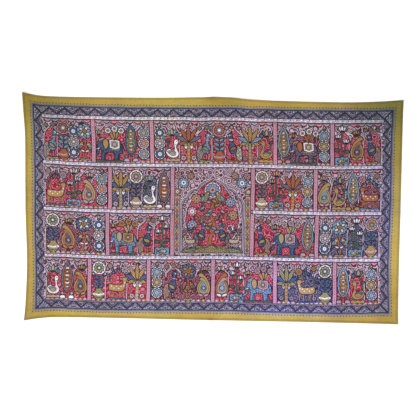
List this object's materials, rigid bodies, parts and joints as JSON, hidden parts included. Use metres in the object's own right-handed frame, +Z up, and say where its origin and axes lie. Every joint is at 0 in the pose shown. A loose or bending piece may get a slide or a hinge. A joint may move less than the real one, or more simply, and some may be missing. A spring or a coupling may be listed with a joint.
{
  "type": "kalamkari panel",
  "caption": "Hand-painted cotton kalamkari cloth, hemmed all round and laid out face up, with a zigzag border, rows of painted motifs and a plain mustard margin.",
  "frame": {"origin": "middle of the laid cloth's outline box, on the surface it lies on", "axes": "+Z up, out of the painted face; +X along the cloth's long side to its right end; +Y to its top edge"},
  "size_m": [1.5514, 0.9444, 0.0114],
  "materials": {
    "painted_cotton": "matte plain-woven cotton, hand painted and dyed"
  },
  "bodies": {
    "root": {"cloth": "painted_cotton"}
  },
  "joints": []
}
